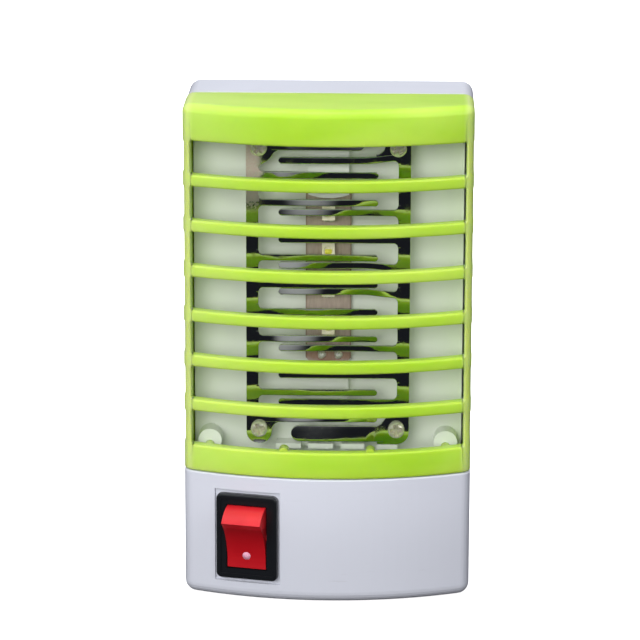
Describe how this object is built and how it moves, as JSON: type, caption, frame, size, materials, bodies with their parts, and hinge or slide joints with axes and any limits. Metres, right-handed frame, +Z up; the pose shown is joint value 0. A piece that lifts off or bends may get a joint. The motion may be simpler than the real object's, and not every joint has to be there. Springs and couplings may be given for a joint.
{
  "type": "plug-in insect zapper",
  "caption": "Plug-in electric insect zapper: bowed slotted grille over meshed high-voltage combs and an LED strip, rocker switch, wall-plug pins at the back.",
  "frame": {"origin": "centre of the plug boss's end face, midway between the two pins", "axes": "+X to the user's right, +Y into the wall along the pins, +Z up"},
  "size_m": [0.063, 0.0649, 0.1105],
  "materials": {
    "white_abs": "satin white ABS moulding",
    "green_plastic": "satin lime-green moulding, slightly translucent",
    "comb_steel": "mirror-polished stainless sheet",
    "screw_steel": "yellow-zinc plated",
    "led_pcb": "brown-grey phenolic board",
    "led_body": "cream LED package with yellow gel",
    "solder": "bright solder",
    "driver_pcb": "green solder mask",
    "film_yellow": "yellow film capacitor",
    "film_blue": "blue film capacitor",
    "diode_black": "black epoxy",
    "resistor_tan": "tan lacquer",
    "fuse_glass": "clear glass tube",
    "pin_brass": "nickel-plated brass",
    "lug_brass": "stamped brass",
    "sleeve_black": "black insulating sleeve",
    "housing_screw": "zinc-plated steel",
    "switch_black": "black nylon",
    "rocker_red": "satin red nylon",
    "dot_pink": "pad-printed pale mark",
    "plunger_nylon": "natural nylon",
    "contact_copper": "copper strip",
    "wire_brown": "brown PVC",
    "wire_blue": "blue PVC",
    "wire_red": "red PVC",
    "wire_black": "black PVC",
    "wire_white": "white PVC"
  },
  "bodies": {
    "housing": {"rear_shell": "white_abs", "front_housing": "white_abs", "comb_left": "comb_steel", "comb_right": "comb_steel", "comb_screws": "screw_steel", "led_board": "led_pcb", "leds": "led_body", "led_solder": "solder", "main_board": "driver_pcb", "board_screws": "housing_screw", "dropper_capacitor": "film_yellow", "hv_capacitors": "film_blue", "diodes": "diode_black", "resistors": "resistor_tan", "fuse": "fuse_glass", "plug_pin_left": "pin_brass", "plug_pin_right": "pin_brass", "pin_sleeves": "sleeve_black", "pin_lugs": "lug_brass", "housing_screws": "housing_screw", "switch_body": "switch_black", "switch_terminals": "lug_brass", "live_wire": "wire_brown", "switched_wire": "wire_brown", "neutral_wire": "wire_blue", "hv_wire_left": "wire_red", "hv_wire_right": "wire_black", "hv_lugs": "solder", "led_wires": "wire_white"},
    "cover": {"grille_cover": "green_plastic"},
    "rocker": {"switch_rocker": "rocker_red", "rocker_dot": "dot_pink", "switch_plunger": "plunger_nylon", "switch_spring": "solder"},
    "contact": {"switch_contact": "contact_copper"}
  },
  "joints": [
    {"name": "cover_pull", "type": "slide", "parent": "housing", "child": "cover", "axis": [0, -1, 0], "range_m": [0, 0.035]},
    {"name": "rocker_turn", "type": "hinge", "parent": "housing", "child": "rocker", "pos_m": [-0.01736, -0.03933, -0.047], "axis": [0.9719, -0.2353, 0], "range_deg": [-46, 0]},
    {"name": "contact_tilt", "type": "hinge", "parent": "housing", "child": "contact", "pos_m": [-0.01538, -0.03117, -0.047], "axis": [0.9719, -0.2353, 0], "range_deg": [0, 15.5]}
  ],
  "couplings": [
    {"joint": "contact_tilt", "follows": "rocker_turn", "ratio": -0.3348}
  ]
}
